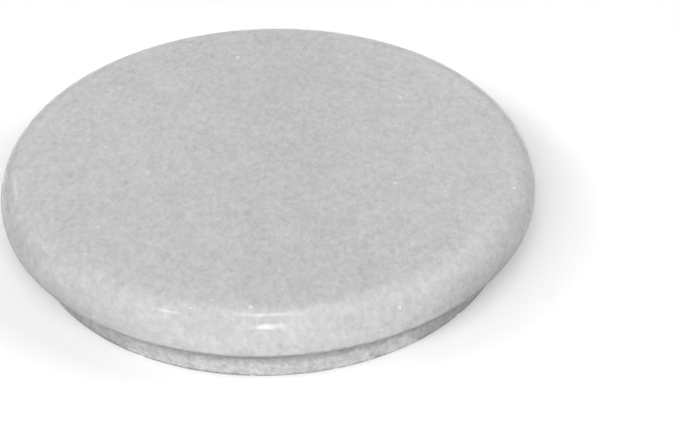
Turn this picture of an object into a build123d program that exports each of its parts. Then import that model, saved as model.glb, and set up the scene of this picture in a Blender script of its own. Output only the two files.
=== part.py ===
"""Round stone rolling board (chakla) for rolling out flatbread dough.

Two pieces of slab stone, both turned round, one bonded under the other:
a bullnosed work slab on top, and a narrower foot ring below it that lifts the
rim clear of the table so that fingers get under it. A thin film of stone resin
joins them, squeezed out a little at both edges of the ring.

Frame: millimetres, +Z up, origin at the centre of the face it stands on.
The axis of turning is Z, so every piece is a revolved section.
"""
from build123d import *
from math import cos, radians, sin
import os

# ---- driving dimensions, mm -------------------------------------------------
BOARD_R = 120.0        # work slab, widest radius
BOARD_T = 18.0         # work slab, thickness
SHOULDER_R = 20.0      # wide easing where the flat top turns down towards the rim
SHOULDER_TURN = 25.0   # degrees that the easing turns through
NOSE_R = 12.0          # tighter radius of the bullnosed rim below the easing
LOWER_R = 4.0          # rounding under the rim
BOND_T = 0.6           # resin film between the two stones
RING_H = 18.4          # foot ring, height
RING_OUT_R = 108.0     # foot ring, outer radius
RING_IN_R = 75.0       # foot ring, inner radius
RING_EASE = 0.8        # chamfer on both upper edges of the ring
RING_FOOT_OUT = 1.2    # rounding of the outer lower edge of the ring
RING_FOOT_IN = 1.0     # rounding of the inner lower edge of the ring
BEAD_DROP = 0.5        # how far the resin bead reaches down the ring's chamfer
BEAD_OUT = 0.35        # how far the bead spreads past the ring under the slab

# ---- derived levels ---------------------------------------------------------
Z_FILM = RING_H                    # top of the ring, underside of the film
Z_SLAB = RING_H + BOND_T           # underside of the work slab
Z_TOP = Z_SLAB + BOARD_T           # rolling face


def P(r, z):
    """A point of a half section: radius r, height z."""
    return Vector(r, 0, z)


def on_arc(cr, cz, rad, deg):
    """Point of a circle about (cr, cz); deg is measured from +Z towards +R."""
    return P(cr + rad * sin(radians(deg)), cz + rad * cos(radians(deg)))


def arc(cr, cz, rad, a, b):
    return ThreePointArc(on_arc(cr, cz, rad, a), on_arc(cr, cz, rad, (a + b) / 2), on_arc(cr, cz, rad, b))


def turned(edges):
    """Revolves a closed half section about Z."""
    return revolve(make_face(Wire(edges)), Axis.Z, 360)


# ---- work slab --------------------------------------------------------------
# The nose's centre lies NOSE_R inside the widest radius. The shoulder is a
# wider arc that starts level with the flat top and meets the nose at the same
# tangent; a short upright wall joins the nose to the rounding underneath.
nose_cr = BOARD_R - NOSE_R
shoulder_cr = nose_cr - (SHOULDER_R - NOSE_R) * sin(radians(SHOULDER_TURN))
shoulder_cz = Z_TOP - SHOULDER_R
nose_cz = shoulder_cz + (SHOULDER_R - NOSE_R) * cos(radians(SHOULDER_TURN))
low_cr, low_cz = BOARD_R - LOWER_R, Z_SLAB + LOWER_R

shoulder = arc(shoulder_cr, shoulder_cz, SHOULDER_R, 0, SHOULDER_TURN)
nose = arc(nose_cr, nose_cz, NOSE_R, SHOULDER_TURN, 90)
under = arc(low_cr, low_cz, LOWER_R, 90, 180)
board_slab = turned([
    Line(P(0, Z_SLAB), P(0, Z_TOP)),
    Line(P(0, Z_TOP), shoulder @ 0),
    shoulder,
    nose,
    Line(nose @ 1, under @ 0),
    under,
    Line(under @ 1, P(0, Z_SLAB)),
])

# ---- foot ring --------------------------------------------------------------
foot_out = arc(RING_OUT_R - RING_FOOT_OUT, RING_FOOT_OUT, RING_FOOT_OUT, 90, 180)
foot_in = arc(RING_IN_R + RING_FOOT_IN, RING_FOOT_IN, RING_FOOT_IN, 180, 270)
ring_top_out = P(RING_OUT_R - RING_EASE, RING_H)
ring_ease_out = P(RING_OUT_R, RING_H - RING_EASE)
ring_top_in = P(RING_IN_R + RING_EASE, RING_H)
ring_ease_in = P(RING_IN_R, RING_H - RING_EASE)
foot_ring = turned([
    Line(ring_top_in, ring_top_out),
    Line(ring_top_out, ring_ease_out),
    Line(ring_ease_out, foot_out @ 0),
    foot_out,
    Line(foot_out @ 1, foot_in @ 0),
    foot_in,
    Line(foot_in @ 1, ring_ease_in),
    Line(ring_ease_in, ring_top_in),
])

# ---- resin bond -------------------------------------------------------------
# A film over the ring's flat top, with a bead at each edge that wets the
# ring's chamfer below and the slab's underside above and hollows between them.
out_low = P(RING_OUT_R - RING_EASE + BEAD_DROP, RING_H - BEAD_DROP)
out_high = P(RING_OUT_R + BEAD_OUT, Z_SLAB)
out_mid = P(RING_OUT_R - 0.30, Z_SLAB - 0.55)
in_low = P(RING_IN_R + RING_EASE - BEAD_DROP, RING_H - BEAD_DROP)
in_high = P(RING_IN_R - BEAD_OUT, Z_SLAB)
in_mid = P(RING_IN_R + 0.30, Z_SLAB - 0.55)
resin_bond = turned([
    Line(ring_top_in, ring_top_out),
    Line(ring_top_out, out_low),
    ThreePointArc(out_low, out_mid, out_high),
    Line(out_high, in_high),
    ThreePointArc(in_high, in_mid, in_low),
    Line(in_low, ring_top_in),
])

# ---- export -----------------------------------------------------------------
os.makedirs("parts", exist_ok=True)
for name, shape in {
    "board_slab": board_slab,
    "resin_bond": resin_bond,
    "foot_ring": foot_ring,
}.items():
    export_step(shape, f"parts/{name}.step")
    box = shape.bounding_box()
    print(f"{name}: {shape.volume / 1000:.1f} cm3, z {box.min.Z:.2f} to {box.max.Z:.2f}, width {box.size.X:.2f}")
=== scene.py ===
import math

import bpy
import numpy as np
from mathutils import Matrix, Quaternion, Vector


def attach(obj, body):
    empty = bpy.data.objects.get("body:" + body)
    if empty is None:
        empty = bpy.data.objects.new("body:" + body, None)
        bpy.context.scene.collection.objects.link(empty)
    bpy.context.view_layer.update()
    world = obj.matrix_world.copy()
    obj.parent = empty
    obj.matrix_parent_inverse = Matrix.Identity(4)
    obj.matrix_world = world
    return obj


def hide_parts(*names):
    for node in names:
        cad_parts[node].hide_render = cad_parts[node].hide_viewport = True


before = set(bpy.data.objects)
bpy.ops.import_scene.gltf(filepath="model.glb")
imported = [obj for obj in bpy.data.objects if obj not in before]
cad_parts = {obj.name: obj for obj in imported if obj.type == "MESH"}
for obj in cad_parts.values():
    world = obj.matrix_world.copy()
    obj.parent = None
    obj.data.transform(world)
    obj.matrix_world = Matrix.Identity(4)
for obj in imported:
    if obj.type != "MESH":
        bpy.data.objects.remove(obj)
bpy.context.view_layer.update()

MM = 0.001
SEED = 4173

# ---------------------------------------------------------------- sizes, mm
BOARD_R = 120.0
TOP_Z = 37.0
SLAB_Z = 19.0
SHOULDER_R = 20.0
SHOULDER_TILT = 25.0
NOSE_R = 12.0
LOWER_R = 4.0
FOOT_R = 108.0
FOOT_IN_R = 75.0
FOOT_H = 18.4


# ---------------------------------------------------------------- seeded, smooth irregularity
class Waves:
    """A sum of plane waves in space with seeded directions and phases, of unit spread."""

    def __init__(self, seed, count, short, long):
        rng = np.random.RandomState(seed)
        way = rng.normal(size=(count, 3))
        way /= np.linalg.norm(way, axis=1)[:, None]
        length = np.exp(rng.uniform(np.log(short), np.log(long), count))
        self.k = way * (2 * np.pi / length)[:, None]
        self.phase = rng.uniform(0, 2 * np.pi, count)
        self.gain = (length / length.mean()) ** 0.8
        self.gain /= np.sqrt((self.gain**2).sum() / 2)

    def __call__(self, p):
        out = np.zeros(len(p))
        for k, ph, g in zip(self.k, self.phase, self.gain):
            out += g * np.sin(p @ k + ph)
        return out


def lobes(seed, orders, theta):
    """A slow unevenness round the rim, of unit spread."""
    rng = np.random.RandomState(seed)
    out = np.zeros_like(theta)
    total = 0.0
    for n in orders:
        a = rng.uniform(0.5, 1.0) / n**0.5
        out += a * np.sin(n * theta + rng.uniform(0, 2 * np.pi))
        total += a * a / 2
    return out / math.sqrt(total)


# ---------------------------------------------------------------- turned meshes
class Turned:
    """A turned surface: a row of rings from one end to the other, or round in a loop."""

    def __init__(self):
        self.rings = []  # (count, r, z, normal r, normal z, where)

    def ring(self, n, r, z, nr, nz, where):
        self.rings.append((n, r, z, nr, nz, where))

    def line(self, n, a, b, steps, normal, where, skip=False):
        for i in range(1 if skip else 0, steps + 1):
            t = i / steps
            self.ring(
                n, a[0] + (b[0] - a[0]) * t, a[1] + (b[1] - a[1]) * t, *normal, where
            )

    def arc(self, n, centre, radius, a0, a1, steps, where, skip=False, side=1):
        """Angles in degrees from +Z towards the outside."""
        for i in range(1 if skip else 0, steps + 1):
            a = math.radians(a0 + (a1 - a0) * i / steps)
            self.ring(
                n,
                centre[0] + radius * math.sin(a),
                centre[1] + radius * math.cos(a),
                side * math.sin(a),
                side * math.cos(a),
                where,
            )

    def build(self, closed, ends):
        first, pts, nrm, where, arc = [], [], [], [], []
        s, last = 0.0, None
        count = 0
        for n, r, z, nr, nz, w in self.rings:
            if last is not None:
                s += math.hypot(r - last[0], z - last[1])
            last = (r, z)
            t = np.arange(n) * (2 * np.pi / n)
            first.append(count)
            count += n
            pts.append(np.column_stack([r * np.cos(t), r * np.sin(t), np.full(n, z)]))
            nrm.append(
                np.column_stack([nr * np.cos(t), nr * np.sin(t), np.full(n, nz)])
            )
            arc.append(np.full(n, s))
        pts, nrm, arc = np.vstack(pts), np.vstack(nrm), np.concatenate(arc)
        faces, kind = [], []
        pairs = list(zip(range(len(first) - 1), range(1, len(first))))
        if closed:
            pairs.append((len(first) - 1, 0))
        for i, j in pairs:
            n, m = self.rings[i][0], self.rings[j][0]
            wi, wj = self.rings[i][5], self.rings[j][5]
            w = wi if wi == wj else wj
            if n == m:
                k = np.arange(n)
                k1 = (k + 1) % n
                for q in np.column_stack(
                    [first[i] + k, first[j] + k, first[j] + k1, first[i] + k1]
                ).tolist():
                    faces.append(q)
                    kind.append((w, i))
            else:
                a = b = 0
                while a < n or b < m:
                    if b >= m or (a < n and (a + 0.5) / n <= (b + 0.5) / m):
                        faces.append(
                            [first[i] + a % n, first[j] + b % m, first[i] + (a + 1) % n]
                        )
                        a += 1
                    else:
                        faces.append(
                            [first[i] + a % n, first[j] + b % m, first[j] + (b + 1) % m]
                        )
                        b += 1
                    kind.append((w, i))
        if ends:
            for at, (i, flip) in enumerate(((0, True), (len(first) - 1, False))):
                n, r, z, nr, nz, w = self.rings[i]
                pts = np.vstack([pts, [[0, 0, z]]])
                nrm = np.vstack([nrm, [[0, 0, nz]]])
                arc = np.append(arc, arc[first[i]])
                c = len(pts) - 1
                for k in range(n):
                    u, v = first[i] + k, first[i] + (k + 1) % n
                    faces.append([c, u, v] if flip else [c, v, u])
                    kind.append((w, i))
        self.arc_length = arc
        return pts, nrm, faces, kind


def make_mesh(name, pts, faces, uvs=None):
    """pts in mm."""
    me = bpy.data.meshes.new(name)
    me.vertices.add(len(pts))
    me.vertices.foreach_set("co", (np.asarray(pts) * MM).ravel())
    sizes = np.fromiter(map(len, faces), np.int32, len(faces))
    corners = np.fromiter((v for f in faces for v in f), np.int32, int(sizes.sum()))
    me.loops.add(len(corners))
    me.loops.foreach_set("vertex_index", corners)
    me.polygons.add(len(faces))
    starts = np.concatenate([[0], np.cumsum(sizes)[:-1]]).astype(np.int32)
    me.polygons.foreach_set("loop_start", starts)
    me.polygons.foreach_set("use_smooth", np.ones(len(faces), bool))
    me.update(calc_edges=True)
    me.validate()
    ob = bpy.data.objects.new(name, me)
    bpy.context.scene.collection.objects.link(ob)
    if uvs is not None:
        layer = me.uv_layers.new(name="OFBake")
        layer.data.foreach_set("uv", np.asarray(uvs, np.float32).ravel())
    return ob


def chips(pts, nrm, spots, rng):
    """Small scars, each a shallow dish with a crisp edge. spots: (x, y, z, size, depth) in mm."""
    push = np.zeros(len(pts))
    for x, y, z, size, depth in spots:
        way = pts - np.array([x, y, z])
        long = rng.uniform(1.0, 1.7)
        turn = rng.uniform(0, np.pi)
        t = math.atan2(y, x)
        along = -way[:, 0] * math.sin(t) + way[:, 1] * math.cos(t)
        across = np.sqrt(
            np.maximum((way**2).sum(1) - along**2, 0.0)
        )
        d = np.sqrt((along / (size * long)) ** 2 + (across / size) ** 2)
        wob = 1 + 0.18 * np.sin(3 * np.arctan2(across, along) + turn)
        push += depth * np.maximum(1 - (d / wob) ** 2, 0.0) ** 0.8
    return pts - nrm * push[:, None]


# ---------------------------------------------------------------- the slab
def slab_piece():
    m = Turned()
    n_rim = 1440
    top_rings = 76
    # flat top, a wide eased shoulder, then the tighter nose
    shoulder = math.radians(SHOULDER_TILT)
    nose_c_r = BOARD_R - NOSE_R
    flat_r = nose_c_r + (NOSE_R - SHOULDER_R) * math.sin(shoulder)
    step = flat_r / top_rings
    for k in range(1, top_rings + 1):
        m.ring(6 * k, k * step, TOP_Z, 0, 1, "top")
    for i in range(1, 11):
        a = shoulder * i / 10
        m.ring(
            480 if i == 1 else (720 if i == 2 else n_rim),
            flat_r + SHOULDER_R * math.sin(a),
            TOP_Z - SHOULDER_R * (1 - math.cos(a)),
            math.sin(a),
            math.cos(a),
            "top",
        )
    nose_z = TOP_Z - SHOULDER_R + (SHOULDER_R - NOSE_R) * math.cos(shoulder)
    m.arc(n_rim, (nose_c_r, nose_z), NOSE_R, SHOULDER_TILT, 44, 6, "top", skip=True)
    m.arc(n_rim, (nose_c_r, nose_z), NOSE_R, 44, 90, 13, "rim", skip=True)
    low_c = (BOARD_R - LOWER_R, SLAB_Z + LOWER_R)
    m.line(
        n_rim, (BOARD_R, nose_z), (BOARD_R, low_c[1]), 2, (1, 0), "rim", skip=True
    )
    m.arc(n_rim, low_c, LOWER_R, 90, 150, 7, "rim", skip=True)
    m.arc(n_rim, low_c, LOWER_R, 150, 180, 3, "under", skip=True)
    m.ring(720, 114.0, SLAB_Z, 0, -1, "under")
    rings = 50
    for k in range(rings, 0, -1):
        m.ring(6 * k, 112.0 * k / rings, SLAB_Z, 0, -1, "under")
    pts, nrm, faces, kind = m.build(False, True)
    r = np.hypot(pts[:, 0], pts[:, 1])
    theta = np.arctan2(pts[:, 1], pts[:, 0])
    tilt_of = np.degrees(np.arctan2(np.hypot(nrm[:, 0], nrm[:, 1]), nrm[:, 2]))

    # hand finish: the polished faces are never quite true
    slow = Waves(SEED + 1, 14, 38.0, 110.0)(pts)
    mid = Waves(SEED + 2, 26, 11.0, 30.0)(pts)
    fine = Waves(SEED + 3, 30, 4.5, 10.0)(pts)
    edge = np.clip((r - 98.0) / 10.0, 0, 1)
    off = 0.012 * slow + (0.0016 + 0.0040 * edge) * mid + 0.0007 * edge * fine
    rimward = np.clip((tilt_of - 10.0) / 30.0, 0, 1) * np.clip((175 - tilt_of) / 20, 0, 1)
    off += 0.05 * rimward * lobes(SEED + 4, (2, 3, 5, 7, 11, 16), theta)
    off += 0.012 * rimward * lobes(SEED + 5, (23, 31, 37, 46, 58), theta)
    off[tilt_of > 179.9] *= 0.25
    off -= off.max() if off.max() > 0 else 0.0
    off = np.maximum(off, -0.35)
    under = tilt_of > 170
    off[under] = np.clip(off[under], -0.05, 0.0) * 0.2
    pts = pts + nrm * off[:, None]

    rng = np.random.RandomState(SEED + 6)
    spots = []
    for t, where, size, depth in (
        (-127.0, 148.0, 0.75, 0.16),
        (-61.0, 141.0, 0.9, 0.2),
        (8.0, 150.0, 1.2, 0.28),
        (47.0, 139.0, 0.7, 0.18),
        (118.0, 146.0, 1.0, 0.22),
        (171.0, 137.0, 0.8, 0.2),
        (205.0, 149.0, 0.7, 0.15),
    ):
        t, a = math.radians(t), math.radians(where)
        rr = low_c[0] + LOWER_R * math.sin(a)
        spots.append(
            (rr * math.cos(t), rr * math.sin(t), low_c[1] + LOWER_R * math.cos(a), size, depth)
        )
    pts = chips(pts, nrm, spots, rng)
    pts[:, 2] = np.minimum(pts[:, 2], TOP_Z)
    far = np.hypot(pts[:, 0], pts[:, 1])
    shrink = np.minimum(1.0, BOARD_R / np.maximum(far, 1e-6))
    pts[:, 0] *= shrink
    pts[:, 1] *= shrink

    # bake map: the top is one disc, the rim four strips, the underside a smaller disc
    flat = np.array([v for f in faces for v in f])
    own = np.repeat(np.arange(len(faces)), [len(f) for f in faces])
    what = np.array([{"top": 0, "rim": 1, "under": 2}[k[0]] for k in kind])
    # the row of faces that leads into a region belongs to that region
    x, y = pts[flat, 0], pts[flat, 1]
    uv = np.zeros((len(flat), 2))
    w = what[own]
    px = 1.0 / 1024
    top_r = nose_c_r + NOSE_R * math.sin(math.radians(44)) + 0.3
    s_top = 3.15 * px
    c = 6 * px + top_r * s_top
    a = w == 0
    uv[a, 0], uv[a, 1] = c + x[a] * s_top, c + y[a] * s_top
    s_low = 1.12 * px
    low_r = BOARD_R
    a = w == 2
    cx = 1 - 5 * px - low_r * s_low
    uv[a, 0], uv[a, 1] = cx + x[a] * s_low, cx - y[a] * s_low
    arc = m.arc_length[flat]
    ang = np.mod(np.arctan2(y, x), 2 * np.pi)
    mid_of = np.zeros(len(faces))
    cnt = np.bincount(own, minlength=len(faces))
    cs = np.bincount(own, np.cos(ang), len(faces))
    sn = np.bincount(own, np.sin(ang), len(faces))
    mid_of = np.mod(np.arctan2(sn, cs), 2 * np.pi)[own]
    strip = np.clip((mid_of / (np.pi / 2)).astype(int), 0, 3)
    local = ang - strip * np.pi / 2
    local = np.where(local > np.pi, local - 2 * np.pi, local)
    a = w == 1
    arc0 = arc[a].min()
    s_rim = 3.35 * px
    v0 = 2 * c + 6 * px
    uv[a, 0] = 6 * px + local[a] * BOARD_R * s_rim
    uv[a, 1] = v0 + strip[a] * ((arc[a].max() - arc0) * s_rim + 8 * px) + (arc[a] - arc0) * s_rim
    return make_mesh("slab_polished_stone", pts, faces, uv)


# ---------------------------------------------------------------- the foot
def foot_piece():
    m = Turned()
    n = 1440
    # from the inner top edge outwards, down the outside, inwards underneath, up the inside
    m.line(n, (FOOT_IN_R + 0.8, FOOT_H), (FOOT_R - 0.8, FOOT_H), 4, (0, 1), "top")
    m.arc(n, (FOOT_R - 0.8, FOOT_H - 0.8), 0.8, 0, 90, 4, "out", skip=True)
    m.line(n, (FOOT_R, FOOT_H - 0.8), (FOOT_R, 1.2), 20, (1, 0), "out", skip=True)
    m.arc(n, (FOOT_R - 1.2, 1.2), 1.2, 90, 180, 6, "out", skip=True)
    m.line(
        n, (FOOT_R - 1.2, 0.0), (FOOT_R - 3.0, 0.0), 2, (0, -1), "under", skip=True
    )
    m.line(
        720, (FOOT_R - 5.0, 0.0), (FOOT_IN_R + 1.0, 0.0), 12, (0, -1), "under"
    )
    m.arc(720, (FOOT_IN_R + 1.0, 1.0), 1.0, 180, 270, 4, "in", skip=True)
    m.line(720, (FOOT_IN_R, 1.0), (FOOT_IN_R, FOOT_H - 0.8), 12, (-1, 0), "in", skip=True)
    m.arc(720, (FOOT_IN_R + 0.8, FOOT_H - 0.8), 0.8, 270, 350, 3, "in", skip=True)
    pts, nrm, faces, kind = m.build(True, False)
    theta = np.arctan2(pts[:, 1], pts[:, 0])
    z = pts[:, 2]
    outer = (nrm[:, 0] * np.cos(theta) + nrm[:, 1] * np.sin(theta)) > 0.5
    inner = (nrm[:, 0] * np.cos(theta) + nrm[:, 1] * np.sin(theta)) < -0.5
    mid = Waves(SEED + 21, 26, 7.0, 24.0)(pts)
    fine = Waves(SEED + 22, 40, 2.2, 6.0)(pts)
    off = np.zeros(len(pts))
    wall = outer | inner
    off += np.where(wall, 0.02 * mid + 0.012 * fine, 0.0)
    off += np.where(outer, 0.09 * lobes(SEED + 23, (2, 3, 4, 6, 9, 13), theta), 0)
    off += np.where(outer, 0.015 * np.sin(z * 2 * np.pi / 2.6 + 0.8 * np.sin(theta * 3)), 0)
    under = nrm[:, 2] < -0.5
    off[wall] -= max(off[wall].max(), 0.0)
    off[under] = -0.006 * (1 + Waves(SEED + 24, 12, 20, 60)(pts[under]) / 3)
    off[nrm[:, 2] > 0.5] = 0
    pts = pts + nrm * off[:, None]
    rng = np.random.RandomState(SEED + 25)
    spots = []
    front = -90.0
    for t, zz, size, depth in (
        (front - 5.2, 0.35, 1.1, 0.42),
        (front + 13.0, 0.3, 0.7, 0.22),
        (front - 31.0, 0.3, 0.8, 0.3),
        (front + 47.0, 0.4, 1.3, 0.45),
        (front + 96.0, 0.3, 0.9, 0.3),
        (front + 139.0, 0.3, 1.0, 0.36),
        (front + 171.0, 0.35, 0.8, 0.26),
        (front + 214.0, 0.3, 1.2, 0.4),
        (front + 262.0, 0.3, 0.7, 0.25),
        (front + 291.0, 0.35, 1.0, 0.32),
    ):
        t = math.radians(t)
        spots.append(((FOOT_R - 0.3) * math.cos(t), (FOOT_R - 0.3) * math.sin(t), zz, size, depth))
    for _ in range(26):
        t = rng.uniform(0, 2 * np.pi)
        spots.append(
            (
                FOOT_R * math.cos(t),
                FOOT_R * math.sin(t),
                rng.uniform(1.5, 16.5),
                rng.uniform(0.45, 0.95),
                rng.uniform(0.05, 0.14),
            )
        )
    pts = chips(pts, nrm, spots, rng)
    pts[:, 2] = np.maximum(pts[:, 2], 0.0)

    flat = np.array([v for f in faces for v in f])
    own = np.repeat(np.arange(len(faces)), [len(f) for f in faces])
    what = np.array([{"top": 0, "out": 1, "under": 2, "in": 3}[k[0]] for k in kind])
    w = what[own]
    x, y = pts[flat, 0], pts[flat, 1]
    arc = m.arc_length[flat]
    # the row that closes the loop starts at zero again
    ang = np.mod(np.arctan2(y, x), 2 * np.pi)
    cs = np.bincount(own, np.cos(ang), len(faces))
    sn = np.bincount(own, np.sin(ang), len(faces))
    mid_of = np.mod(np.arctan2(sn, cs), 2 * np.pi)[own]
    strip = np.clip((mid_of / (np.pi / 2)).astype(int), 0, 3)
    local = ang - strip * np.pi / 2
    local = np.where(local > np.pi, local - 2 * np.pi, local)
    px = 1.0 / 1024
    uv = np.zeros((len(flat), 2))
    s = 5.6 * px
    a = w == 1
    arc0, arc1 = arc[a].min(), arc[a].max()
    uv[a, 0] = 5 * px + local[a] * FOOT_R * s
    uv[a, 1] = 5 * px + strip[a] * ((arc1 - arc0) * s + 6 * px) + (arc[a] - arc0) * s
    base = 5 * px + 4 * ((arc1 - arc0) * s + 6 * px)
    a = w == 3
    s3 = 3.4 * px
    arc0, arc1 = arc[a].min(), arc[a].max()
    # faces of the closing row mix the last ring with the first
    total = arc1
    fixed = np.where(arc[a] < 0.5 * total, total + 0.15, arc[a])
    arc0 = np.percentile(fixed, 0)
    half = strip[a] // 2
    uv[a, 0] = 5 * px + (strip[a] % 2) * (FOOT_IN_R * (np.pi / 2) * s3 + 8 * px) + local[a] * FOOT_IN_R * s3
    uv[a, 1] = base + half * (22.5 * s3 + 6 * px) + (fixed - arc0) * s3
    base += 2 * (22.5 * s3 + 6 * px)
    a = w == 2
    s2 = min((1 - 5 * px - base) / (2 * FOOT_R), 1.9 * px)
    cy = base + FOOT_R * s2
    uv[a, 0], uv[a, 1] = 5 * px + FOOT_R * s2 + x[a] * s2, cy - y[a] * s2
    a = w == 0
    s0 = 0.55 * s2
    cx = 1 - 5 * px - FOOT_R * s0
    uv[a, 0], uv[a, 1] = cx + x[a] * s0, cy + y[a] * s0
    return make_mesh("foot_turned_stone", pts, faces, uv)


# ---------------------------------------------------------------- the resin bond
def bond_piece():
    m = Turned()
    n = 960
    z0, z1 = FOOT_H, SLAB_Z
    ro, ri = FOOT_R - 0.8, FOOT_IN_R + 0.8
    lift = 0.004

    def bow(a, b, sag, steps, where, skip):
        """A hollow bead face between two points, bowed towards the film."""
        (r0, za), (r1, zb) = a, b
        lr, lz = r1 - r0, zb - za
        size = math.hypot(lr, lz)
        nr, nz = lz / size, -lr / size
        for i in range(1 if skip else 0, steps + 1):
            t = i / steps
            d = sag * 4 * t * (1 - t)
            m.ring(n, r0 + lr * t - nr * d, za + lz * t - nz * d, nr, nz, where)

    # film top, inwards to outwards is hidden; then the outer bead, film underside, inner bead
    top_out, top_in = FOOT_R + 0.35, FOOT_IN_R - 0.35
    low_out, low_in = FOOT_R - 0.3, FOOT_IN_R + 0.3
    m.line(n, (top_in, z1), (top_out, z1), 3, (0, 1), "hid")
    bow((top_out, z1 - lift), (low_out, z0 - 0.5), 0.2, 7, "bead", False)
    m.ring(n, ro, z0 + 0.01, 0, -1, "hid")
    m.ring(n, ri, z0 + 0.01, 0, -1, "hid")
    bow((low_in, z0 - 0.5), (top_in, z1 - lift), 0.2, 7, "bead", False)
    pts, nrm, faces, kind = m.build(True, False)
    bead = np.zeros(len(pts), bool)
    at = 0
    for ring in m.rings:
        bead[at : at + ring[0]] = ring[5] == "bead"
        at += ring[0]
    r = np.hypot(pts[:, 0], pts[:, 1])
    theta = np.arctan2(pts[:, 1], pts[:, 0])
    uneven = 0.05 * lobes(SEED + 41, (5, 9, 14, 21, 33), theta) + 0.03 * lobes(
        SEED + 42, (47, 61, 79, 104), theta
    )
    rng = np.random.RandomState(SEED + 43)
    for _ in range(16):
        t0, wide, high = rng.uniform(-np.pi, np.pi), rng.uniform(0.008, 0.02), rng.uniform(0.08, 0.22)
        d = np.angle(np.exp(1j * (theta - t0)))
        uneven += high * np.exp(-((d / wide) ** 2))
    ease = np.clip((SLAB_Z - pts[:, 2]) / 0.5, 0, 1)
    pts = pts + nrm * np.where(bead, uneven * (0.35 + 0.65 * (1 - ease)) * 0.8, 0)[:, None]
    pts[:, 2] = np.minimum(pts[:, 2], SLAB_Z)
    return make_mesh("bond_resin_bead", pts, faces)


# ---------------------------------------------------------------- node helpers
class Nodes:
    def __init__(self, name):
        self.mat = bpy.data.materials.new(name)
        self.mat.use_nodes = True
        self.nt = self.mat.node_tree
        self.nt.nodes.clear()
        self.out = self.nt.nodes.new("ShaderNodeOutputMaterial")
        self.shader = self.nt.nodes.new("ShaderNodeBsdfPrincipled")
        self.nt.links.new(self.shader.outputs[0], self.out.inputs["Surface"])
        self.coord = self.nt.nodes.new("ShaderNodeTexCoord")

    def put(self, socket, value):
        if hasattr(value, "is_output"):
            self.nt.links.new(value, socket)
        else:
            socket.default_value = value

    def math(self, op, *args, clamp=False):
        n = self.nt.nodes.new("ShaderNodeMath")
        n.operation = op
        n.use_clamp = clamp
        for s, v in zip(n.inputs, args):
            self.put(s, v)
        return n.outputs[0]

    def add(self, *args):
        out = args[0]
        for a in args[1:]:
            out = self.math("ADD", out, a)
        return out

    def mul(self, a, b):
        return self.math("MULTIPLY", a, b)

    def where(self, scale=(1, 1, 1), turn=(0, 0, 0), move=(0, 0, 0), of=None):
        n = self.nt.nodes.new("ShaderNodeMapping")
        self.put(n.inputs["Vector"], of or self.coord.outputs["Object"])
        n.inputs["Scale"].default_value = scale
        n.inputs["Rotation"].default_value = turn
        n.inputs["Location"].default_value = move
        return n.outputs[0]

    def noise(self, vec, scale, detail=2.0, rough=0.5, distort=0.0):
        n = self.nt.nodes.new("ShaderNodeTexNoise")
        self.put(n.inputs["Vector"], vec)
        n.inputs["Scale"].default_value = scale
        n.inputs["Detail"].default_value = detail
        n.inputs["Roughness"].default_value = rough
        n.inputs["Distortion"].default_value = distort
        return n.outputs["Fac"], n.outputs["Color"]

    def cells(self, vec, scale, random=1.0, feature="F1"):
        n = self.nt.nodes.new("ShaderNodeTexVoronoi")
        n.feature = feature
        self.put(n.inputs["Vector"], vec)
        n.inputs["Scale"].default_value = scale
        n.inputs["Randomness"].default_value = random
        return n

    def ramp(self, value, lo, hi, out_lo=0.0, out_hi=1.0, smooth=False):
        n = self.nt.nodes.new("ShaderNodeMapRange")
        n.clamp = True
        if smooth:
            n.interpolation_type = "SMOOTHSTEP"
        self.put(n.inputs["Value"], value)
        n.inputs["From Min"].default_value = lo
        n.inputs["From Max"].default_value = hi
        n.inputs["To Min"].default_value = out_lo
        n.inputs["To Max"].default_value = out_hi
        return n.outputs[0]

    def split(self, vec):
        n = self.nt.nodes.new("ShaderNodeSeparateXYZ")
        self.put(n.inputs[0], vec)
        return n.outputs

    def warp(self, vec, by, gain):
        """vec moved by a colour about its middle grey."""
        a = self.nt.nodes.new("ShaderNodeVectorMath")
        a.operation = "SUBTRACT"
        self.put(a.inputs[0], by)
        a.inputs[1].default_value = (0.5, 0.5, 0.5)
        b = self.nt.nodes.new("ShaderNodeVectorMath")
        b.operation = "MULTIPLY_ADD"
        self.put(b.inputs[0], a.outputs[0])
        b.inputs[1].default_value = (gain, gain, gain)
        self.put(b.inputs[2], vec)
        return b.outputs[0]

    def grey(self, value, tint=(1.0, 1.0, 1.0)):
        n = self.nt.nodes.new("ShaderNodeCombineColor")
        for s, t in zip(n.inputs, tint):
            self.put(s, value if t == 1.0 else self.mul(value, t))
        return n.outputs[0]

    def bump(self, height, distance, strength=1.0, normal=None):
        n = self.nt.nodes.new("ShaderNodeBump")
        n.inputs["Strength"].default_value = strength
        n.inputs["Distance"].default_value = distance
        self.put(n.inputs["Height"], height)
        if normal is not None:
            self.put(n.inputs["Normal"], normal)
        return n.outputs[0]


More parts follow.
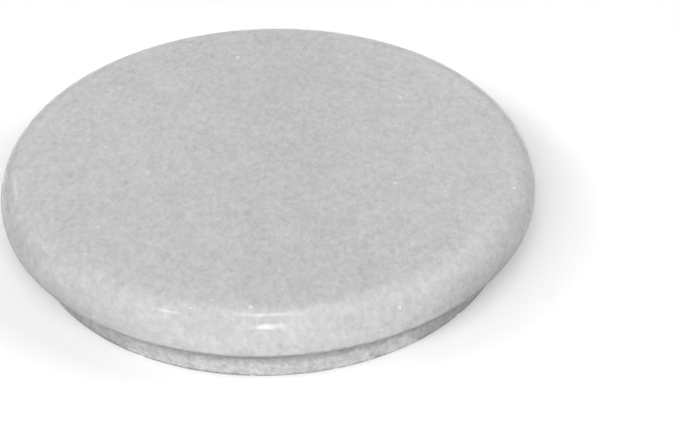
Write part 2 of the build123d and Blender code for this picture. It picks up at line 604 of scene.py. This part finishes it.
def stone(n, grain, mottle, cloud, fleck, shift=0.0, rim=None):
    """Brightness of a fine, sugary grey-white marble about 1.0, and its crystal pattern."""
    # the bed of the stone runs along Y, so the grain is a little longer that way
    at = n.where(scale=(1.0, 0.66, 1.0), move=(shift, shift * 0.7, shift * 0.3))
    _, drift = n.noise(at, 90.0, 1.0, 0.5)
    soft = n.warp(at, drift, 0.0015)
    _, fidget = n.noise(at, 900.0, 1.0, 0.5)
    crumb = n.warp(soft, fidget, 0.0007)
    # crystals about a millimetre across, each with its own grey
    big = n.cells(crumb, 640.0)
    tone_a = n.split(big.outputs["Color"])[0]
    small = n.cells(crumb, 1250.0)
    tone_b = n.split(small.outputs["Color"])[1]
    sugar, _ = n.noise(crumb, 1500.0, 2.0, 0.6)
    crystal = n.add(
        n.mul(n.math("SUBTRACT", tone_a, 0.5), 0.55 * grain),
        n.mul(n.math("SUBTRACT", tone_b, 0.5), 0.35 * grain),
        n.mul(n.math("SUBTRACT", sugar, 0.5), 0.9 * grain),
    )
    # soft blotches from 2 to 12 mm
    blot, _ = n.noise(soft, 360.0, 2.0, 0.5)
    patch, _ = n.noise(soft, 85.0, 2.0, 0.55)
    spots = n.add(
        n.mul(n.math("SUBTRACT", blot, 0.5), mottle),
        n.mul(n.math("SUBTRACT", patch, 0.5), mottle * 0.5),
    )
    if rim is not None:
        broad, _ = n.noise(soft, 205.0, 1.0, 0.5)
        spots = n.add(spots, n.mul(n.mul(n.math("SUBTRACT", broad, 0.5), rim), mottle * 0.55))
    # slow clouds through the block
    haze, _ = n.noise(n.where(scale=(1.0, 0.55, 1.0), turn=(0.2, 0.1, 0.5), move=(0.31 + shift, 0.12, 0.4)), 13.0, 3.0, 0.5, 0.6)
    clouds = n.mul(n.math("SUBTRACT", haze, 0.5), cloud)
    # a few crystals painted white as glints of light, in loose flocks and a little more of them on the rim, and fewer
    # dark grains
    _, shake = n.noise(at, 600.0, 2.0, 0.6)
    rare = n.cells(n.warp(n.where(move=(0.017, 0.043, 0.091)), shake, 0.0022), 250.0)
    picks = n.split(rare.outputs["Color"])
    flock, _ = n.noise(n.where(move=(0.6, 0.3, 0.2)), 38.0, 1.0, 0.5)
    pick = n.add(picks[0], n.mul(n.math("SUBTRACT", flock, 0.5), 0.30))
    if rim is not None:
        pick = n.add(pick, n.mul(rim, 0.05))
    lit = n.mul(
        n.ramp(pick, 0.93, 1.04, 0.0, 1.0),
        n.ramp(rare.outputs["Distance"], 0.04, 0.30, 1.0, 0.0, True),
    )
    dusk = n.mul(
        n.ramp(picks[1], 0.90, 0.97, 0.0, 1.0),
        n.ramp(rare.outputs["Distance"], 0.05, 0.42, 1.0, 0.0, True),
    )
    flecks = n.math("SUBTRACT", n.mul(lit, fleck), n.mul(dusk, fleck * 0.22))
    if rim is not None:
        crystal = n.mul(crystal, n.ramp(rim, 0, 1, 1.0, 0.9))
    return n.add(1.0, crystal, spots, clouds, flecks), tone_a, sugar, lit


def slab_material():
    n = Nodes("marble_polished")
    pos = n.split(n.coord.outputs["Object"])
    radius = n.math("SQRT", n.add(n.mul(pos[0], pos[0]), n.mul(pos[1], pos[1])))
    rim = n.ramp(radius, 0.103, 0.112, 0.0, 1.0)
    value, tone, sugar, lit = stone(n, 0.18, 0.34, 0.10, 0.55, rim=rim)
    base = n.mul(value, 0.459)
    # sawn and never polished underneath, so rougher and gritty; its base colour is darkened there as well, painted
    # shade of the undercut beneath the slab's edge
    sawn_and_painted_shade = n.ramp(pos[2], 0.0206, 0.0221, 1.0, 0.0)
    # base colour times 0.42 on the lower round: painted shade
    n.put(n.shader.inputs["Base Color"], n.grey(n.mul(base, n.ramp(sawn_and_painted_shade, 0, 1, 1.0, 0.42))))
    haze, _ = n.noise(n.where(move=(0.4, 0.2, 0.7)), 26.0, 3.0, 0.6)
    rough = n.add(
        n.ramp(rim, 0, 1, 0.165, 0.145),
        n.mul(n.math("SUBTRACT", tone, 0.5), 0.035),
        n.mul(n.math("SUBTRACT", haze, 0.5), 0.09),
        n.mul(sawn_and_painted_shade, 0.34),
    )
    n.put(n.shader.inputs["Roughness"], rough)
    n.shader.inputs["IOR"].default_value = 1.52
    n.shader.inputs["Subsurface Weight"].default_value = 0.75
    n.shader.inputs["Subsurface Radius"].default_value = (1.0, 1.0, 1.0)
    n.shader.inputs["Subsurface Scale"].default_value = 0.0045
    peel, _ = n.noise(n.where(move=(0.9, 0.1, 0.3)), 330.0, 2.0, 0.5)
    grit, _ = n.noise(n.where(), 2600.0, 2.0, 0.6)
    height = n.add(n.mul(peel, 0.010), n.mul(tone, 0.0016), n.mul(grit, n.ramp(sawn_and_painted_shade, 0, 1, 0.0012, 0.03)))
    n.put(n.shader.inputs["Normal"], n.bump(height, 0.001))
    return n.mat


def foot_material():
    n = Nodes("marble_turned")
    value, tone, sugar, lit = stone(n, 0.36, 0.62, 0.12, 0.35, shift=0.37)
    pos = n.split(n.coord.outputs["Object"])
    # faint lines left by turning and by the coarse stone
    lines, _ = n.noise(n.where(scale=(6.0, 6.0, 260.0)), 5.0, 3.0, 0.6)
    dull, _ = n.noise(n.where(scale=(1, 1, 0.7), move=(0.2, 0.5, 0.1)), 320.0, 3.0, 0.65)
    pits = n.cells(n.where(move=(0.07, 0.02, 0.05)), 520.0)
    chosen = n.ramp(n.split(pits.outputs["Color"])[0], 0.72, 0.86)
    hole = n.mul(chosen, n.ramp(pits.outputs["Distance"], 0.12, 0.36, 1.0, 0.0, True))
    value = n.add(
        value,
        n.mul(n.math("SUBTRACT", lines, 0.5), 0.10),
        n.mul(n.math("SUBTRACT", dull, 0.5), 0.30),
        n.mul(hole, -0.10),
    )
    # darker towards the joint: painted shade where the slab's overhang shades the top of the foot wall
    shade_height = n.add(pos[2], n.mul(n.math("SUBTRACT", dull, 0.5), 0.003))
    body = n.ramp(shade_height, 0.0054, 0.0124, 0.475, 0.25, True)
    # darker at the very bottom edge: painted contact shadow where the foot meets the floor
    body = n.mul(body, n.ramp(shade_height, 0.0003, 0.0016, 0.62, 1.0, True))
    n.put(n.shader.inputs["Base Color"], n.grey(n.mul(value, body)))
    n.put(
        n.shader.inputs["Roughness"],
        n.add(0.42, n.mul(n.math("SUBTRACT", dull, 0.5), 0.3), n.mul(hole, 0.15)),
    )
    n.shader.inputs["IOR"].default_value = 1.52
    n.shader.inputs["Subsurface Weight"].default_value = 0.3
    n.shader.inputs["Subsurface Radius"].default_value = (1.0, 1.0, 1.0)
    n.shader.inputs["Subsurface Scale"].default_value = 0.002
    grit, _ = n.noise(n.where(), 1900.0, 3.0, 0.65)
    height = n.add(
        n.mul(lines, 0.02), n.mul(dull, 0.05), n.mul(grit, 0.022), n.mul(hole, -0.09)
    )
    n.put(n.shader.inputs["Normal"], n.bump(height, 0.001))
    return n.mat


def resin_material():
    n = Nodes("stone_resin")
    fill, _ = n.noise(n.where(), 700.0, 4.0, 0.65)
    smear, _ = n.noise(n.where(move=(0.3, 0.3, 0.3)), 60.0, 3.0, 0.55)
    value = n.add(0.2, n.mul(fill, 0.06), n.mul(smear, 0.05))
    n.put(n.shader.inputs["Base Color"], n.grey(value, (1.0, 0.965, 0.89)))
    n.put(n.shader.inputs["Roughness"], n.add(0.45, n.mul(smear, 0.2)))
    n.shader.inputs["IOR"].default_value = 1.54
    n.put(n.shader.inputs["Normal"], n.bump(n.mul(fill, 0.05), 0.001))
    return n.mat


# ---------------------------------------------------------------- pieces
slab = slab_piece()
slab.data.materials.append(slab_material())
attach(slab, "root")
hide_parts("board_slab")

foot = foot_piece()
foot.data.materials.append(foot_material())
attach(foot, "root")
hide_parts("foot_ring")

bond = bond_piece()
bond.data.materials.append(resin_material())
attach(bond, "root")
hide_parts("resin_bond")


# ---------------------------------------------------------------- floor and backdrop
SIDE_HALF = 55.0


def floor():
    """A wide pale floor that turns up softly into a low backdrop, the same all round. What lies
    to either side of the board throws no light on it, as if black cards lay there."""
    prof = [(0.0, 0.0, 0.0)] + [(r, 0.0, 0.0) for r in (0.1, 0.25, 0.5, 1.0, 1.7, 2.4)]
    c_r, c_z, rad = 2.4, 1.6, 1.6
    for i in range(1, 13):
        a = math.radians(7.0 * i)
        prof.append((c_r + rad * math.sin(a), c_z - rad * math.cos(a), a))
    n = 96
    pts, nrm, faces = [(0.0, 0.0, 0.0)], [(0.0, 0.0, 1.0)], []
    for r, z, a in prof[1:]:
        for k in range(n):
            t = 2 * math.pi * k / n
            pts.append((r * math.cos(t), r * math.sin(t), z))
            nrm.append((-math.sin(a) * math.cos(t), -math.sin(a) * math.sin(t), math.cos(a)))
    for k in range(n):
        faces.append((k, (0, 1 + k, 1 + (k + 1) % n)))
    for i in range(len(prof) - 2):
        a, b = 1 + i * n, 1 + (i + 1) * n
        for k in range(n):
            faces.append((k, (a + k, b + k, b + (k + 1) % n, a + (k + 1) % n)))
    look = Nodes("pale_floor")
    tone, _ = look.noise(look.where(), 7.0, 3.0, 0.5)
    look.put(look.shader.inputs["Base Color"], look.grey(look.add(0.915, look.mul(tone, 0.01))))
    look.shader.inputs["Roughness"].default_value = 0.9
    look.shader.inputs["Specular IOR Level"].default_value = 0.15
    # the raised part on the far side is lit by a glow of its own
    _, y, z = look.split(look.coord.outputs["Object"])
    wall = look.mul(look.ramp(z, 0.02, 0.45, 0.0, 0.45, True), look.ramp(y, -1.5, 1.2, 0.0, 1.0, True))
    look.shader.inputs["Emission Color"].default_value = (1, 1, 1, 1)
    look.put(look.shader.inputs["Emission Strength"], wall)
    for name, dark in (("pale_floor", False), ("pale_floor_sides", True)):
        mine = [f for k, f in faces if (abs(math.cos(2 * math.pi * (k + 0.5) / n)) > math.cos(math.radians(SIDE_HALF))) == dark]
        used = sorted({v for f in mine for v in f})
        new = {v: i for i, v in enumerate(used)}
        me = bpy.data.meshes.new(name)
        me.from_pydata([pts[v] for v in used], [], [tuple(new[v] for v in f) for f in mine])
        me.polygons.foreach_set("use_smooth", [True] * len(mine))
        me.normals_split_custom_set_from_vertices([nrm[v] for v in used])
        me.materials.append(look.mat)
        ob = bpy.data.objects.new(name, me)
        bpy.context.scene.collection.objects.link(ob)
        ob.visible_diffuse = not dark


floor()

# ---------------------------------------------------------------- camera
UNIT = 0.120
FAR = 6.5
FOCAL = 2.6359 * FAR * 100 / 680 * 36.0
ELEV, YAW, PITCH, ROLL = (math.radians(v) for v in (35.656, 2.324, -1.042, -1.981))
back = Vector((0.0, -math.cos(ELEV), math.sin(ELEV)))
fwd, right = -back, Vector((1, 0, 0))
up = right.cross(fwd)
f2 = fwd * math.cos(YAW) + right * math.sin(YAW)
r2 = right * math.cos(YAW) - fwd * math.sin(YAW)
f3 = f2 * math.cos(PITCH) + up * math.sin(PITCH)
u3 = up * math.cos(PITCH) - f2 * math.sin(PITCH)
cam_x = r2 * math.cos(ROLL) + u3 * math.sin(ROLL)
cam_y = u3 * math.cos(ROLL) - r2 * math.sin(ROLL)
cam_at = (back * FAR + Vector((0, 0, 0.15))) * UNIT
data = bpy.data.cameras.new("camera")
data.sensor_width = 36.0
data.lens = FOCAL
data.clip_start, data.clip_end = 0.02, 30.0
camera = bpy.data.objects.new("camera", data)
camera.matrix_world = Matrix(
    (
        (cam_x.x, cam_y.x, -f3.x, cam_at.x),
        (cam_x.y, cam_y.y, -f3.y, cam_at.y),
        (cam_x.z, cam_y.z, -f3.z, cam_at.z),
        (0, 0, 0, 1),
    )
)
bpy.context.scene.collection.objects.link(camera)
bpy.context.scene.camera = camera


# ---------------------------------------------------------------- light
def panel(name, azimuth, elevation, distance, wide, tall, radiance, soft=True, mirror=True, aim=(0, 0, 0.03), turn=0):
    """A panel of one radiance at an azimuth (0 is the near side, 90 the right) and an elevation
    as seen from the point it is aimed at, turned in its own plane.
    soft: it lights the diffuse part. mirror: it shows in the polish."""
    a, e = math.radians(azimuth), math.radians(elevation)
    way = Vector((math.sin(a) * math.cos(e), -math.cos(a) * math.cos(e), math.sin(e)))
    light = bpy.data.lights.new(name, "AREA")
    light.shape = "RECTANGLE"
    light.size, light.size_y = wide, tall
    light.energy = radiance * math.pi * wide * tall * 1.0
    ob = bpy.data.objects.new(name, light)
    ob.location = Vector(aim) + way * distance
    ob.rotation_mode = "QUATERNION"
    ob.rotation_quaternion = (-way).to_track_quat("-Z", "Y") @ Quaternion((0, 0, 1), math.radians(turn))
    ob.visible_camera = False
    ob.visible_diffuse = soft
    ob.visible_glossy = mirror
    bpy.context.scene.collection.objects.link(ob)
    return ob


NEAR_RIM = (-0.003, -0.115, 0.030)
LEFT_RIM = (-0.041, -0.104, 0.033)
LEFT_END = (-0.117, -0.018, 0.034)
PANELS = (
    # name, azimuth, elevation, distance, width, height, radiance, soft, mirror, aim, turn
    ("key_front", 0, 41, 4.0, 2.0, 1.1, 11.6, True, False),
    ("key_left", -30, 41, 4.0, 2.0, 1.1, 7.2, True, False),
    ("key_high", 0, 60, 4.0, 2.0, 1.1, 5.0, True, False),
    ("side_left", -75, 40, 4.0, 2.0, 1.1, 5.5, True, False),
    ("side_right", 75, 40, 4.0, 2.0, 1.1, 6.0, True, False),
    ("back", 180, 32, 4.0, 2.4, 1.0, 1.2, True, False),
    ("back_right", 130, 32, 4.0, 2.0, 1.0, 2.8, True, False),
    ("back_left", -130, 32, 4.0, 2.0, 1.0, 0.8, True, False),
    # small bright things that the polish mirrors
    ("spot_near", -4.0, 60.3, 1.5, 0.14, 0.48, 10.5, False, True, NEAR_RIM),
    ("spot_near_wide", -4.0, 60.3, 1.5, 0.34, 0.34, 1.5, False, True, NEAR_RIM),
    ("strip_far", -174.7, 77.5, 2.0, 0.34, 0.20, 6.0, False, True, NEAR_RIM),
    ("streak_left", -88, 67.6, 2.0, 0.42, 0.17, 6.6, False, True, LEFT_RIM, -25),
    ("window_left", -143, 22, 2.0, 0.13, 0.36, 2.3, False, True, LEFT_END),
)
for p in PANELS:
    panel(*p)


def surroundings():
    """The bright ceiling and dimmer walls of a room, for the polish to mirror.
    Azimuths here: -Y is the near side, +X the right."""
    world = bpy.data.worlds.new("studio")
    bpy.context.scene.world = world
    world.use_nodes = True
    n = Nodes.__new__(Nodes)
    n.nt = world.node_tree
    sky = n.nt.nodes["Background"]
    n.coord = n.nt.nodes.new("ShaderNodeTexCoord")
    x, y, z = n.split(n.coord.outputs["Generated"])
    # brighter and brighter towards the ceiling
    level = n.nt.nodes.new("ShaderNodeValToRGB")
    stops = ((0.0, 1.35), (0.17, 1.62), (0.34, 1.62), (0.50, 1.50), (0.64, 1.50), (0.77, 1.64), (0.87, 1.88), (0.94, 2.06), (1.0, 1.9))
    bar = level.color_ramp
    while len(bar.elements) < len(stops):
        bar.elements.new(0.5)
    for e, (at, v) in zip(bar.elements, stops):
        e.position = at
        e.color = (v / 4, v / 4, v / 4, 1)
    n.put(level.inputs[0], z)
    value = n.mul(level.outputs[0], 4.0)
    # the walls to either side are darker low down
    xx, yy = n.mul(x, x), n.mul(y, y)
    side = n.math("DIVIDE", xx, n.add(xx, yy, 0.0001))
    low = n.ramp(z, 0.30, 0.80, 1.0, 0.0, True)
    sharp = n.ramp(x, -0.25, 0.25, 3.2, 1.0)
    value = n.mul(value, n.math("SUBTRACT", 1.0, n.mul(n.mul(n.math("POWER", side, sharp), low), 0.65)))
    value = n.mul(value, n.add(1.0, n.mul(x, 0.18)))
    # dimmer on the near side, most of all low down
    value = n.mul(value, n.ramp(y, -0.5, 0.15, 0.58, 1.0, True))
    near = n.mul(n.ramp(y, -0.6, -0.1, 1.0, 0.0, True), n.ramp(z, 0.1, 0.5, 0.85, 0.0, True))
    value = n.mul(value, n.math("SUBTRACT", 1.0, near))
    # a dimmer upright gap in the far wall
    off = n.math("ABSOLUTE", n.math("SUBTRACT", x, 0.0115))
    gap = n.ramp(off, 0.030, 0.056, 1.0, 0.0, True)
    gap = n.mul(gap, n.ramp(y, 0.1, 0.3))
    broad = n.mul(n.ramp(off, 0.05, 0.40, 1.0, 0.0, True), n.ramp(y, 0.1, 0.3))
    lower = n.ramp(z, 0.80, 0.90, 1.0, 0.0)
    dim = n.mul(n.add(n.mul(gap, 0.26), n.mul(broad, 0.14)), lower)
    value = n.mul(value, n.math("SUBTRACT", 1.0, dim))
    sky.inputs["Color"].default_value = (1, 1, 1, 1)
    n.put(sky.inputs["Strength"], value)
    world.cycles_visibility.camera = True
    world.cycles_visibility.diffuse = False
    world.cycles_visibility.glossy = True
    return sky


sky = surroundings()

scene = bpy.context.scene
scene.view_settings.view_transform = "Standard"
scene.view_settings.look = "None"
scene.view_settings.exposure = 0.0
scene.view_settings.gamma = 1.0
